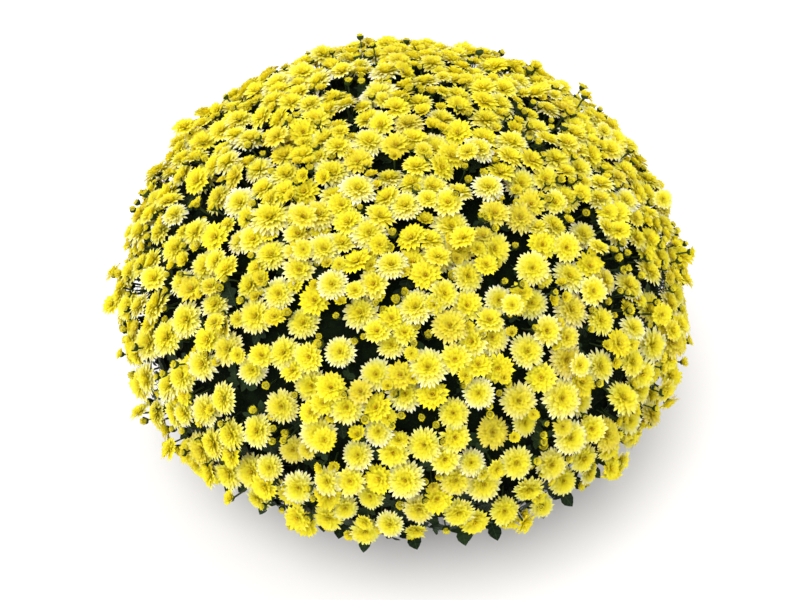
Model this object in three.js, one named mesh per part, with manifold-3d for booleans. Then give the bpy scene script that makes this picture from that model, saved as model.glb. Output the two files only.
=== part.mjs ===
// A garden chrysanthemum in full bloom: a dome of small double flowers on a leafy bush, in a round
// nursery pot.
// Millimetres, +Z up. The origin is the centre of the pot's base, on the surface that it stands on.
import * as THREE from 'three';
import { ConvexHull } from 'three/addons/math/ConvexHull.js';
import { mergeVertices } from 'three/addons/utils/BufferGeometryUtils.js';
import Module from 'manifold-3d';

const wasm = await Module();
wasm.setup();

// ---------------------------------------------------------------- driving dimensions
const DOME_RADIUS = 300;            // out to the flowers' faces, at the widest level
const DOME_HEIGHT = 248;            // from the widest level up to the crown
const WIDEST_LEVEL = 156;           // height of the widest level above the ground
const SKIRT_DROP = 80;              // how far the lowest branches hang below the widest level
const SKIRT_TAPER = 0.08;           // share of the radius by which the skirt draws in
const SKIRT_ANGLE = 22;             // degrees past the equator that stand for the skirt

const POT_HEIGHT = 165;
const POT_TOP_RADIUS = 114;
const POT_BASE_RADIUS = 84;
const POT_WALL = 2.4;
const POT_FLOOR = 3;
const POT_RIM_DEPTH = 16;           // height of the rolled rim
const POT_RIM_REACH = 4;            // how far the rim stands out from the wall
const POT_SIDES = 24;
const DRAIN_HOLES = 6;
const DRAIN_RADIUS = 5;
const DRAIN_SIDES = 6;
const DRAIN_CIRCLE = 62;            // radius of the ring of drain holes

const SOIL_BELOW_RIM = 15;
const SOIL_CROWN = 6;               // how far the soil's middle rises above its edge
const TRUNK_RADIUS = 9;
const TRUNK_SIDES = 8;
const TRUNK_DEPTH = 55;             // how deep the woody base stands in the soil
const SEAT_GAP = 0.35;              // between pieces that touch

const SPRAYS_PER_SPHERE = 64;       // flower sprays that a whole sphere would carry; the dome has its share
const BLOOMS_PER_SPHERE = 660;
const SPRAY_SHARE = 0.8;            // a spray's pad covers this share of its cell's width
const BLOOM_DRAW = 0.05;            // blooms draw this share of the way towards their spray's middle
const STALK_DRAW = 0.27;            // and their stalks start this share of the way,
const STALK_LIMIT = 0.66;           // and within this share of the way to the cell's edge
const LOWEST_BLOOM = 102;           // polar angle of the lowest flowers, in degrees
const SPARSE_BELOW = 95;            // past this polar angle the skirt's leaves show between the flowers,
const SPARSE_STEP = 3;              // because one flower in this many is missing

const BLOOM_PETALS = 5;
const BLOOM_RISE = 6.5;             // from the rim up to the middle of the flower
const BLOOM_NOTCH = 0.76;           // radius of the notches between petals, as a share of the tips'
const BLOOM_MOST_RADIUS = 19.5;
const BLOOM_STAGGER = 9;            // most that a flower stands back from the dome's face
const BLOOM_LEAN = 0.25;            // how far a flower leans to any side
const BLOOM_LIFT = 0.50;            // how far flowers on the sides turn up towards the light
const PAD_TOP = 24;                 // depth under the dome's face of the spray's leafy top
const PAD_BOTTOM = 30;              // depth of the bush itself
const STALK_SINK = 4;               // how deep a flower's stalk runs into the spray
const SPREAD_ROUNDS = 14;           // times that sprays and flowers are pushed apart

const BRANCH_RADIUS = 3.8;
const BRANCH_SIDES = 5;
const BRANCH_SINK = 7;              // how far below the trunk's top the branches start
// Main branches, tier by tier from the trunk's fork: how many, and where they end, as radius and height.
const BRANCH_TIERS = [[7, 218, 202], [5, 150, 287], [3, 60, 333]];
// The hollow under the canopy, where only branches are, as radii and heights from its rim to its peak.
const CANOPY_HOLLOW = [[205, 188], [140, 276], [60, 316]];
const HOLLOW_PEAK = 321;
const SKIRT_LEAVES = 40;
const LEAF_LENGTH = 38;
const LEAF_THICKNESS = 0.9;
const LEAF_PITCH = 8;               // degrees below level
const LEAF_ROOT_IN = 18;            // from the bush's lower edge to a leaf's root inside it,
const LEAF_ROOT_DOWN = 2;           // in radius and in height
const HEM = 13;                     // how far the bush hangs below the lowest sprays

const YELLOW = '#e3d21b';
const LEAF_GREEN = '#22361d';
const POT_BLACK = '#26272a';
const SOIL_BROWN = '#3b2a1e';

const RAD = Math.PI / 180;
const UP = new THREE.Vector3(0, 0, 1);

// ---------------------------------------------------------------- helpers

// A seeded source of numbers from 0 to 1 (mulberry32).
function seeded(seed) {
  let state = seed >>> 0;
  return () => {
    state = (state + 0x6d2b79f5) >>> 0;
    let t = Math.imul(state ^ (state >>> 15), 1 | state);
    t = (t + Math.imul(t ^ (t >>> 7), 61 | t)) ^ t;
    return ((t ^ (t >>> 14)) >>> 0) / 4294967296;
  };
}

// A closed geometry as a manifold-3d solid.
function solidOf(geometry) {
  const bare = geometry.clone();
  bare.deleteAttribute('normal');
  bare.deleteAttribute('uv');
  const merged = mergeVertices(bare, 1e-4);
  return new wasm.Manifold(new wasm.Mesh({
    numProp: 3,
    vertProperties: new Float32Array(merged.attributes.position.array),
    triVerts: new Uint32Array(merged.index.array),
  }));
}

function geometryOf(solid) {
  const mesh = solid.getMesh();
  const geometry = new THREE.BufferGeometry();
  geometry.setAttribute('position', new THREE.BufferAttribute(mesh.vertProperties, 3));
  geometry.setIndex(new THREE.BufferAttribute(mesh.triVerts, 1));
  geometry.computeVertexNormals();
  return geometry;
}

// A closed geometry from points and triangles of point numbers.
function facetedGeometry(points, triangles) {
  const geometry = new THREE.BufferGeometry().setFromPoints(points);
  geometry.setIndex(triangles.flat());
  return geometry;
}

const joined = (solids) => solids.reduce((whole, piece) => whole.add(piece));

// ---------------------------------------------------------------- the dome

// Directions from the middle of the widest level. Their polar angle is 0 at the crown.
const polarOf = (dir) => Math.acos(THREE.MathUtils.clamp(dir.z, -1, 1));
const azimuthOf = (dir) => Math.atan2(dir.y, dir.x);
const dirAt = (polar, azimuth) => new THREE.Vector3(
  Math.sin(polar) * Math.cos(azimuth), Math.sin(polar) * Math.sin(azimuth), Math.cos(polar));
const pointAt = (radius, azimuth, height) => new THREE.Vector3(
  radius * Math.cos(azimuth), radius * Math.sin(azimuth), height);

// Radius and height of the dome's face at a polar angle, at a depth under the face.
function profile(polar, depth) {
  const radius = DOME_RADIUS - depth;
  const height = DOME_HEIGHT - depth;
  if (polar <= Math.PI / 2) {
    return [radius * Math.sin(polar), WIDEST_LEVEL + height * Math.cos(polar)];
  }
  const down = (polar - Math.PI / 2) / (SKIRT_ANGLE * RAD);
  return [radius * (1 - SKIRT_TAPER * down * down), WIDEST_LEVEL - SKIRT_DROP * down];
}

function domePoint(dir, depth) {
  const [radius, height] = profile(polarOf(dir), depth);
  return pointAt(radius, azimuthOf(dir), height);
}

// The way out of the dome at a direction.
function domeNormal(dir) {
  const step = 0.01;
  const [radiusAbove, heightAbove] = profile(polarOf(dir) - step, 0);
  const [radiusBelow, heightBelow] = profile(polarOf(dir) + step, 0);
  return pointAt(heightAbove - heightBelow, azimuthOf(dir), radiusBelow - radiusAbove).normalize();
}

const between = (from, to, share) => from.clone().lerp(to, share).normalize();

const randomOffset = (random) => new THREE.Vector3(random() - 0.5, random() - 0.5, random() - 0.5);

// Directions spread evenly over a sphere in a golden-angle spiral, then shaken and pushed apart.
function spreadDirections(count, shake, random) {
  const golden = Math.PI * (3 - Math.sqrt(5));
  const spacing = Math.sqrt(4 * Math.PI / count);
  const dirs = Array.from({ length: count }, (_, i) => {
    const dir = dirAt(Math.acos(1 - 2 * (i + 0.5) / count), i * golden);
    return dir.addScaledVector(randomOffset(random), 2 * shake * spacing).normalize();
  });
  const nearest = 0.93 * spacing;
  const apart = new THREE.Vector3();
  for (let round = 0; round < SPREAD_ROUNDS; round++) {
    for (let i = 0; i < count; i++) {
      for (let j = i + 1; j < count; j++) {
        apart.subVectors(dirs[i], dirs[j]);
        const gap = apart.length();
        if (gap >= nearest) continue;
        apart.multiplyScalar(0.25 * (nearest - gap) / gap);
        dirs[i].add(apart).normalize();
        dirs[j].sub(apart).normalize();
      }
    }
  }
  return dirs;
}

// ---------------------------------------------------------------- sprays: their cells on the dome

const SKIRT_POLAR = (90 + SKIRT_ANGLE) * RAD;

// Each spray has its middle and the corners of its cell, in order round it. Corners on the skirt's
// edge are marked.
function layOutSprays() {
  const all = spreadDirections(SPRAYS_PER_SPHERE, 0.12, seeded(11));
  const onDome = (dir) => polarOf(dir) < SKIRT_POLAR - 3 * RAD;
  const hull = new ConvexHull().setFromPoints(all);
  const corners = hull.faces.map((face) => {
    const around = [];
    let edge = face.edge;
    do {
      around.push(all.indexOf(edge.head().point));
      edge = edge.next;
    } while (edge !== face.edge);
    const onEdge = around.some((i) => !onDome(all[i]));
    const polar = onEdge ? SKIRT_POLAR : polarOf(face.normal);
    return { around, onEdge, dir: dirAt(polar, azimuthOf(face.normal)) };
  });
  return all.flatMap((middle, i) => {
    if (!onDome(middle)) return [];
    const aside = Math.abs(middle.z) > 0.9 ? new THREE.Vector3(1, 0, 0) : UP;
    const side = aside.clone().cross(middle).normalize();
    const other = middle.clone().cross(side);
    const turn = (corner) => Math.atan2(corner.dir.dot(other), corner.dir.dot(side));
    const own = corners.filter((corner) => corner.around.includes(i));
    return [{ middle, corners: own.sort((a, b) => turn(a) - turn(b)) }];
  });
}

// ---------------------------------------------------------------- flowers

// The foot of a flower's stalk, sunk into its spray's pad. The pad is a fan of flat facets between the
// middle and the corners of the cell, so the foot is measured from the facet that it stands on.
function stalkFoot(spray, dir) {
  // Seen from the sphere's centre, the facets are triangles on the plane that touches the middle.
  const onPlane = (d) => d.clone().divideScalar(d.dot(spray.middle)).sub(spray.middle);
  const point = onPlane(dir);
  const depth = PAD_TOP + STALK_SINK;
  for (let i = 0; i < spray.corners.length; i++) {
    const corners = [spray.corners[i], spray.corners[(i + 1) % spray.corners.length]];
    const [from, to] = corners.map((corner) => onPlane(corner.dir));
    const area = from.clone().cross(to).dot(spray.middle);
    const toFrom = point.clone().cross(to).dot(spray.middle) / area;
    const toTo = from.clone().cross(point).dot(spray.middle) / area;
    if (toFrom < 0 || toTo < 0) continue;
    const draw = Math.min(1 - STALK_DRAW, STALK_LIMIT / (toFrom + toTo));
    const foot = domePoint(spray.middle, depth);
    const [fromStep, toStep] = corners.map((corner) => domePoint(corner.dir, depth).sub(foot));
    return foot.addScaledVector(fromStep, toFrom * draw).addScaledVector(toStep, toTo * draw);
  }
  throw new Error('a flower lies outside every facet of its spray');
}

// Flowers' directions, each drawn a little towards its spray's middle.
function layOutBlooms(sprays) {
  const random = seeded(23);
  const sites = spreadDirections(BLOOMS_PER_SPHERE, 0.2, random)
    .filter((dir) => polarOf(dir) < LOWEST_BLOOM * RAD)
    .filter((dir, i) => polarOf(dir) < SPARSE_BELOW * RAD || i % SPARSE_STEP !== 1)
    .map((dir) => {
      const spray = sprays.reduce((best, s) => (s.middle.dot(dir) > best.middle.dot(dir) ? s : best));
      return { spray, dir: between(dir, spray.middle, BLOOM_DRAW), foot: stalkFoot(spray, dir) };
    });
  for (const site of sites) {
    site.place = domePoint(site.dir, BLOOM_STAGGER * random());
    site.spin = random() * 2 * Math.PI;
    site.lean = randomOffset(random).multiplyScalar(BLOOM_LEAN);
  }
  for (const site of sites) {
    const gaps = sites.filter((s) => s !== site).map((s) => s.place.distanceTo(site.place));
    site.radius = Math.min(BLOOM_MOST_RADIUS, 0.49 * Math.min(...gaps));
  }
  return sites;
}

// One flower: a star of petals that rises to its middle, over a three-sided cup that narrows down
// into its stalk.
function bloomSolid(site) {
  const lift = BLOOM_LIFT * Math.sin(polarOf(site.dir));
  const facing = domeNormal(site.dir).add(site.lean).addScaledVector(UP, lift).normalize();
  const turn = new THREE.Quaternion().setFromUnitVectors(UP, facing);
  const at = (radius, angle, height) => pointAt(radius, angle, height).applyQuaternion(turn).add(site.place);
  const points = [site.place.clone(), site.foot];
  const rim = 2 * BLOOM_PETALS;
  for (let i = 0; i < rim; i++) {
    const isTip = i % 2 === 0;
    const angle = site.spin + i * Math.PI / BLOOM_PETALS;
    points.push(at(site.radius * (isTip ? 1 : BLOOM_NOTCH), angle, isTip ? -BLOOM_RISE + 2 : -BLOOM_RISE));
  }
  const rimPoint = (i) => 2 + (i + rim) % rim;
  const triangles = [];
  for (let i = 0; i < rim; i++) triangles.push([0, rimPoint(i), rimPoint(i + 1)]);
  // The cup's three edges leave from three of the notches. Petals between them close the underside.
  const cup = [1, 3, 7];
  cup.forEach((from, k) => {
    const to = cup[(k + 1) % 3] + (k === 2 ? rim : 0);
    triangles.push([1, rimPoint(to), rimPoint(from)]);
    const notches = [];
    for (let i = from; i <= to; i += 2) notches.push(i);
    for (let n = 0; n < notches.length - 1; n++) {
      const [here, next] = [notches[n], notches[n + 1]];
      triangles.push([rimPoint(here), rimPoint(next), rimPoint(here + 1)]);
      if (n > 0) triangles.push([rimPoint(from), rimPoint(next), rimPoint(here)]);
    }
  });
  return solidOf(facetedGeometry(points, triangles));
}

// The spray's own leafy top, a shallow faceted pad that follows the bush under it. The flowers stand
// out of it.
function padSolid(spray) {
  const out = domeNormal(spray.middle);
  const bushMiddle = domePoint(spray.middle, PAD_BOTTOM);
  const seat = (point) => point.clone().addScaledVector(out, SEAT_GAP);
  const top = [domePoint(spray.middle, PAD_TOP)];
  const bottom = [seat(bushMiddle)];
  for (const corner of spray.corners) {
    top.push(domePoint(between(spray.middle, corner.dir, SPRAY_SHARE - 0.05), PAD_TOP));
    bottom.push(seat(bushMiddle.clone().lerp(domePoint(corner.dir, PAD_BOTTOM), SPRAY_SHARE)));
  }
  const sides = spray.corners.length;
  const low = sides + 1;
  const triangles = [];
  for (let i = 1; i <= sides; i++) {
    const next = i % sides + 1;
    triangles.push([0, i, next], [low, low + next, low + i]);
    triangles.push([i, low + i, next], [next, low + i, low + next]);
  }
  return solidOf(facetedGeometry([...top, ...bottom], triangles));
}

// ---------------------------------------------------------------- the leafy bush

// The bush under the sprays: a fan of facets under each spray, and a hollow underside that rises
// towards the crown.
function bushSolid(sprays) {
  const corners = [...new Set(sprays.flatMap((s) => s.corners))];
  const points = corners.map((corner) => domePoint(corner.dir, PAD_BOTTOM));
  const triangles = [];
  for (const spray of sprays) {
    const middle = points.push(domePoint(spray.middle, PAD_BOTTOM)) - 1;
    const around = spray.corners.map((c) => corners.indexOf(c));
    around.forEach((corner, i) => triangles.push([middle, corner, around[(i + 1) % around.length]]));
  }
  // A hem below the sprays and the hollow underside, ring by ring inwards, as [radius, height].
  const [edgeRadius, edgeHeight] = profile(SKIRT_POLAR, PAD_BOTTOM);
  const hem = [[edgeRadius - 5, edgeHeight - HEM], [edgeRadius - 30, edgeHeight + 4]];
  let ring = corners.filter((c) => c.onEdge).sort((a, b) => azimuthOf(a.dir) - azimuthOf(b.dir));
  const azimuths = ring.map((c) => azimuthOf(c.dir));
  ring = ring.map((c) => corners.indexOf(c));
  for (const [radius, height] of [...hem, ...CANOPY_HOLLOW]) {
    const inner = azimuths.map((azimuth) => points.push(pointAt(radius, azimuth, height)) - 1);
    ring.forEach((from, i) => {
      const next = (i + 1) % ring.length;
      triangles.push([from, inner[i], ring[next]], [ring[next], inner[i], inner[next]]);
    });
    ring = inner;
  }
  const peak = points.push(new THREE.Vector3(0, 0, HOLLOW_PEAK)) - 1;
  ring.forEach((from, i) => triangles.push([from, peak, ring[(i + 1) % ring.length]]));
  return solidOf(facetedGeometry(points, triangles));
}

// A round bar between two points, with few sides.
function barSolid(from, to, radius, endRadius, sides) {
  const along = to.clone().sub(from);
  const bar = new THREE.CylinderGeometry(endRadius, radius, along.length(), sides, 1);
  bar.translate(0, along.length() / 2, 0);
  const turn = new THREE.Quaternion().setFromUnitVectors(new THREE.Vector3(0, 1, 0), along.normalize());
  bar.applyQuaternion(turn);
  bar.translate(from.x, from.y, from.z);
  return solidOf(bar);
}

// The blade of a lobed chrysanthemum leaf along +X, its face up, arched down towards its tip.
function leafBlade(length) {
  // Half the outline, in shares of the length, along and to the side: the stalk, then two lobes.
  const half = [[0.16, 0.03], [0.3, 0.25], [0.42, 0.13], [0.62, 0.31], [0.74, 0.15]];
  const outline = [[0, 0.025], ...half, [1, 0], ...half.map(([x, y]) => [x, -y]).reverse(), [0, -0.025]];
  const shape = new THREE.Shape(outline.map(([x, y]) => new THREE.Vector2(x * length, y * length)));
  const blade = new THREE.ExtrudeGeometry(shape, { depth: LEAF_THICKNESS, bevelEnabled: false, steps: 1 });
  const position = blade.attributes.position;
  for (let i = 0; i < position.count; i++) {
    const x = position.getX(i) / length;
    position.setZ(i, position.getZ(i) - 0.22 * length * x * x);
  }
  return blade;
}

// Leaves round the hem of the bush. Each one starts inside it and points out and down.
function skirtLeaves(random) {
  const [edgeRadius, edgeHeight] = profile(SKIRT_POLAR, PAD_BOTTOM);
  return Array.from({ length: SKIRT_LEAVES }, (_, i) => {
    const azimuth = (i + 0.5 * random()) * 2 * Math.PI / SKIRT_LEAVES;
    const leaf = leafBlade(LEAF_LENGTH * (0.85 + 0.3 * random()));
    leaf.rotateX((random() - 0.5) * 0.7);
    leaf.rotateY((LEAF_PITCH + 12 * (random() - 0.5)) * RAD);
    leaf.rotateZ((random() - 0.5) * 0.5);
    leaf.translate(edgeRadius - LEAF_ROOT_IN, 0, edgeHeight - LEAF_ROOT_DOWN);
    leaf.rotateZ(azimuth);
    return solidOf(leaf);
  });
}

const SOIL_TOP = POT_HEIGHT - SOIL_BELOW_RIM;
const TRUNK_TOP = SOIL_TOP + 18;

function plantSolid(sprays) {
  const random = seeded(37);
  const foot = new THREE.Vector3(0, 0, SOIL_TOP - TRUNK_DEPTH);
  const fork = new THREE.Vector3(0, 0, TRUNK_TOP);
  const root = fork.clone().addScaledVector(UP, -BRANCH_SINK);
  const pieces = [bushSolid(sprays), barSolid(foot, fork, TRUNK_RADIUS, TRUNK_RADIUS, TRUNK_SIDES)];
  for (const [count, reach, height] of BRANCH_TIERS) {
    for (let i = 0; i < count; i++) {
      const azimuth = (i + 0.4 * random()) * 2 * Math.PI / count;
      const end = pointAt(reach, azimuth, height);
      pieces.push(barSolid(root, end, BRANCH_RADIUS, BRANCH_RADIUS * 0.8, BRANCH_SIDES));
    }
  }
  return joined([...pieces, ...skirtLeaves(random)]);
}

// ---------------------------------------------------------------- pot and soil

// A closed ring of points turned round the axis.
function turned(points, sides) {
  const outline = points.map(([radius, height]) => new THREE.Vector2(radius, height));
  return solidOf(new THREE.LatheGeometry(outline, sides).rotateX(Math.PI / 2));
}

const potWallAt = (height) => THREE.MathUtils.lerp(POT_BASE_RADIUS, POT_TOP_RADIUS, height / POT_HEIGHT);
const potInsideAt = (height) => THREE.MathUtils.mapLinear(
  height, POT_FLOOR, POT_HEIGHT, POT_BASE_RADIUS - POT_WALL, POT_TOP_RADIUS - POT_WALL);

function potSolid() {
  const rimFoot = POT_HEIGHT - POT_RIM_DEPTH;
  const body = turned([
    [0, 0],
    [POT_BASE_RADIUS, 0],
    [potWallAt(rimFoot), rimFoot],
    [potWallAt(rimFoot) + POT_RIM_REACH, rimFoot],
    [POT_TOP_RADIUS + POT_RIM_REACH, POT_HEIGHT],
    [POT_TOP_RADIUS - POT_WALL, POT_HEIGHT],
    [POT_BASE_RADIUS - POT_WALL, POT_FLOOR],
    [0, POT_FLOOR],
  ], POT_SIDES);
  const drains = Array.from({ length: DRAIN_HOLES }, (_, i) => {
    const azimuth = (i + 0.5) * 2 * Math.PI / DRAIN_HOLES;
    const [below, above] = [-1, POT_FLOOR + 1].map((height) => pointAt(DRAIN_CIRCLE, azimuth, height));
    return barSolid(below, above, DRAIN_RADIUS, DRAIN_RADIUS, DRAIN_SIDES);
  });
  return body.subtract(joined(drains));
}

function soilSolid() {
  const inside = (height) => potInsideAt(height) - SEAT_GAP;
  const floor = POT_FLOOR + SEAT_GAP;
  const edge = SOIL_TOP - SOIL_CROWN;
  const earth = turned([
    [0, floor],
    [inside(floor), floor],
    [inside(edge), edge],
    [inside(edge) / 2, SOIL_TOP - SOIL_CROWN / 4],
    [0, SOIL_TOP],
  ], POT_SIDES);
  const holeFoot = new THREE.Vector3(0, 0, SOIL_TOP - TRUNK_DEPTH - SEAT_GAP);
  const holeTop = new THREE.Vector3(0, 0, SOIL_TOP + 2);
  const clear = TRUNK_RADIUS + SEAT_GAP;
  return earth.subtract(barSolid(holeFoot, holeTop, clear, clear, TRUNK_SIDES));
}

// ---------------------------------------------------------------- the whole plant

const group = new THREE.Group();

function addNode(name, solid, colour, roughness) {
  const finish = { color: colour, roughness, metalness: 0, flatShading: true };
  const mesh = new THREE.Mesh(geometryOf(solid), new THREE.MeshStandardMaterial(finish));
  mesh.name = name;
  group.add(mesh);
}

const sprays = layOutSprays();
const blooms = layOutBlooms(sprays);

addNode('pot', potSolid(), POT_BLACK, 0.55);
addNode('soil', soilSolid(), SOIL_BROWN, 0.95);
addNode('leafy_bush', plantSolid(sprays), LEAF_GREEN, 0.6);
sprays.forEach((spray, i) => {
  const flowers = blooms.filter((b) => b.spray === spray).map(bloomSolid);
  const number = String(i + 1).padStart(2, '0');
  addNode(`flower_spray_${number}`, joined([padSolid(spray), ...flowers]), YELLOW, 0.6);
});

export default group;
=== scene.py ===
"""A garden chrysanthemum in full bloom, in a round nursery pot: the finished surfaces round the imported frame.

Lengths are in millimetres until a mesh is made. The part's own rule lays out sprays and flowers, so each
flower stands at its place in the frame, or a little aside where a gap between clumps runs. Smaller flowers,
buds, stalks and leaves fill in between them.
"""
import math
from math import cos, sin

import bpy
import numpy as np
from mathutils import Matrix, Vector
from numpy.linalg import norm
from numpy.random import default_rng


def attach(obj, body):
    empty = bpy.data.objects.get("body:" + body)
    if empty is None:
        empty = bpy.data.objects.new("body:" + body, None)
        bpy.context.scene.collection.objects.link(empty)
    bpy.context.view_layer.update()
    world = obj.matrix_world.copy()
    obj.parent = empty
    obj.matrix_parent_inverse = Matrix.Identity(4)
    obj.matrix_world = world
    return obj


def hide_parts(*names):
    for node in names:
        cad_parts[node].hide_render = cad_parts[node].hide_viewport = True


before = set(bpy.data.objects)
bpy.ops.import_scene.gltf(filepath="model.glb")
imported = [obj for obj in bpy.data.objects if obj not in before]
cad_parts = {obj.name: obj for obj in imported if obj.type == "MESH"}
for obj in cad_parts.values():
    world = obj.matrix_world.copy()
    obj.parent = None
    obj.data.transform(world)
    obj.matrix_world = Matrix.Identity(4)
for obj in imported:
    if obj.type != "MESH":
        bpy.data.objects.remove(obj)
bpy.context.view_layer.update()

MM = 0.001
BODY = "root"
RAD = math.pi / 180
TURN = 2 * math.pi
GOLDEN = math.pi * (3 - math.sqrt(5))
SLOPE_STEP = 0.01  # radians, to work out slopes
UP = np.array([0.0, 0.0, 1.0])
ASIDE = np.array([1.0, 0.0, 0.0])

# -------- the part's driving dimensions

DOME_RADIUS = 300  # out to the flowers' faces, at the widest level
DOME_HEIGHT = 248  # from the widest level up to the crown
WIDEST_LEVEL = 156  # height of the widest level above the ground
SKIRT_DROP = 80  # how far the lowest branches hang below the widest level
SKIRT_TAPER = 0.08  # share of the radius by which the skirt draws in
SKIRT_ANGLE = 22  # degrees past the equator that stand for the skirt
SKIRT_POLAR = (90 + SKIRT_ANGLE) * RAD

POT_HEIGHT = 165
POT_TOP_RADIUS = 114
POT_BASE_RADIUS = 84
POT_WALL = 2.4
POT_FLOOR = 3
POT_RIM_DEPTH = 16  # height of the rolled rim
POT_RIM_REACH = 4  # how far the rim stands out from the wall
DRAIN_HOLES = 6
DRAIN_RADIUS = 5
DRAIN_CIRCLE = 62  # radius of their ring

SOIL_TOP = POT_HEIGHT - 15
SOIL_CROWN = 6  # how far the soil's middle rises above its edge
TRUNK_RADIUS = 9
TRUNK_TOP = SOIL_TOP + 18
BRANCH_RADIUS = 3.8
# Main branches, tier by tier from the trunk's fork: how many, and where they end, as radius and height.
BRANCH_TIERS = [(7, 218, 202), (5, 150, 287), (3, 60, 333)]
# The hollow under the canopy, as radii and heights from its rim to its peak.
CANOPY_HOLLOW = [(205, 188), (140, 276), (60, 316)]
HOLLOW_PEAK = 321
HEM = 13  # how far the bush hangs below the lowest sprays

SPRAYS_PER_SPHERE = 64
BLOOMS_PER_SPHERE = 660
SPREAD_ROUNDS = 14
BLOOM_DRAW = 0.05  # blooms draw this share of the way towards their spray's middle,
STALK_DRAW = 0.27  # and their stalks start this share of the way
BLOOM_MOST_RADIUS = 19.5
BLOOM_STAGGER = 9  # most that a flower stands back from the dome's face
BLOOM_LEAN = 0.25  # how far a flower leans to any side
BLOOM_LIFT = 0.50  # how far flowers on the sides turn up towards the light
LOWEST_BLOOM = 102  # polar angle of the lowest flowers, in degrees
SPARSE_BELOW = 95  # past this polar angle leaves show between the flowers,
SPARSE_STEP = 3  # because one flower in this many is missing
BUSH_DEPTH = 30  # depth of the bush under the flowers' faces
SKIRT_LEAVES = 40
LEAF_LENGTH = 38
LEAF_PITCH = 8  # degrees below level
LEAF_ROOT_IN = 18  # from the bush's lower edge to a leaf's root inside it,
LEAF_ROOT_DOWN = 2  # in radius and in height

# -------- small helpers


def seeded(seed):
    """The part's own source of numbers from 0 to 1 (mulberry32)."""
    mask = 0xFFFFFFFF
    state = seed & mask

    def draw():
        nonlocal state
        state = (state + 0x6D2B79F5) & mask
        t = ((state ^ (state >> 15)) * (1 | state)) & mask
        t = ((t + (t ^ (t >> 7)) * (61 | t)) & mask) ^ t
        return ((t ^ (t >> 14)) & mask) / 4294967296

    return draw


def unit(v):
    return v / norm(v, axis=-1, keepdims=True)


def point_at(radius, azimuth, height):
    return np.array([radius * cos(azimuth), radius * sin(azimuth), height])


def dir_at(polar, azimuth):
    return point_at(sin(polar), azimuth, cos(polar))


def polar_of(direction):
    return math.acos(max(-1.0, min(1.0, direction[2])))


def azimuth_of(direction):
    return math.atan2(direction[1], direction[0])


def angles(count):
    """This many angles, spread evenly round a circle."""
    return np.arange(count) * TURN / count


def ring_triangles(rings, sides, closed=True):
    """Triangles that join rings of points, and close the ends with two more points after them."""
    i = np.arange(sides)
    j = (i + 1) % sides
    corners = []
    for a in range(0, (rings - 1) * sides, sides):
        b = a + sides
        corners += [(a + i, a + j, b + j), (a + i, b + j, b + i)]
    if closed:
        top = (rings - 1) * sides
        first = np.full(sides, rings * sides)
        corners += [(first, j, i), (first + 1, top + i, top + j)]
    return np.concatenate([np.stack(three, axis=1) for three in corners])


def strip_triangles(rows, first=0):
    """Triangles that join rows of three points, from this index on."""
    triangles = []
    for a in range(first, first + 3 * (rows - 1), 3):
        for k in (a, a + 1):
            triangles += [(k, k + 1, k + 4), (k, k + 4, k + 3)]
    return triangles


def revolved(outline, sides):
    """Rings of points: an outline of (radius, height) turned round the axis."""
    radii, heights = np.array(outline, dtype=float).T[:, :, None]
    azimuths = angles(sides)
    return np.stack([radii * np.cos(azimuths), radii * np.sin(azimuths), heights + 0 * azimuths], axis=-1)


def between(start, end, share):
    return unit(start + (end - start) * share)


def turn_to(facing, spin=0.0):
    """A rotation matrix that stands +Z along facing, after a spin round it."""
    side = unit(np.cross(facing, UP if abs(facing[2]) < 0.95 else ASIDE))
    other = np.cross(facing, side)
    x = side * cos(spin) + other * sin(spin)
    return np.stack([x, np.cross(facing, x), facing], axis=1)


def new_object(name, data):
    thing = bpy.data.objects.new(name, data)
    bpy.context.scene.collection.objects.link(thing)
    return thing


def picked(things, rng):
    return things[rng.integers(len(things))]


class Batch:
    """Triangles gathered for one mesh, with attributes for its material."""

    def __init__(self, *attributes):
        self.points = []
        self.triangles = []
        self.values = {name: [] for name in attributes}
        self.count = 0

    def add(self, points, triangles, **values):
        self.points.append(points)
        self.triangles.append(triangles + self.count)
        for name, parts in self.values.items():
            parts.append(np.broadcast_to(values[name], len(points)))
        self.count += len(points)

    def joined(self):
        values = {name: np.concatenate(parts) for name, parts in self.values.items()}
        return np.concatenate(self.points), np.concatenate(self.triangles), values

    def piece(self, name, material):
        points, triangles, values = self.joined()
        mesh = bpy.data.meshes.new(name)
        mesh.vertices.add(len(points))
        mesh.vertices.foreach_set("co", (points * MM).astype(np.float32).ravel())
        mesh.loops.add(triangles.size)
        mesh.loops.foreach_set("vertex_index", triangles.astype(np.int32).ravel())
        mesh.polygons.add(len(triangles))
        mesh.polygons.foreach_set("loop_start", np.arange(0, triangles.size, 3, dtype=np.int32))
        mesh.polygons.foreach_set("use_smooth", np.ones(len(triangles), dtype=bool))
        for attribute, numbers in values.items():
            layer = mesh.attributes.new(attribute, "FLOAT", "POINT")
            layer.data.foreach_set("value", numbers.astype(np.float32))
        mesh.update(calc_edges=True)
        mesh.materials.append(material)
        piece = new_object(name, mesh)
        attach(piece, BODY)
        return piece


# -------- the dome and where things stand on it


def profile(polar, depth):
    """Radius and height of the dome's face at a polar angle, at a depth under the face."""
    radius = DOME_RADIUS - depth
    height = DOME_HEIGHT - depth
    if polar <= math.pi / 2:
        return radius * sin(polar), WIDEST_LEVEL + height * cos(polar)
    down = (polar - math.pi / 2) / (SKIRT_ANGLE * RAD)
    return radius * (1 - SKIRT_TAPER * down * down), WIDEST_LEVEL - SKIRT_DROP * down


def dome_point(direction, depth):
    radius, height = profile(polar_of(direction), depth)
    return point_at(radius, azimuth_of(direction), height)


def dome_normal(direction):
    radius_above, height_above = profile(polar_of(direction) - SLOPE_STEP, 0)
    radius_below, height_below = profile(polar_of(direction) + SLOPE_STEP, 0)
    return unit(point_at(height_above - height_below, azimuth_of(direction), radius_below - radius_above))


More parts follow.
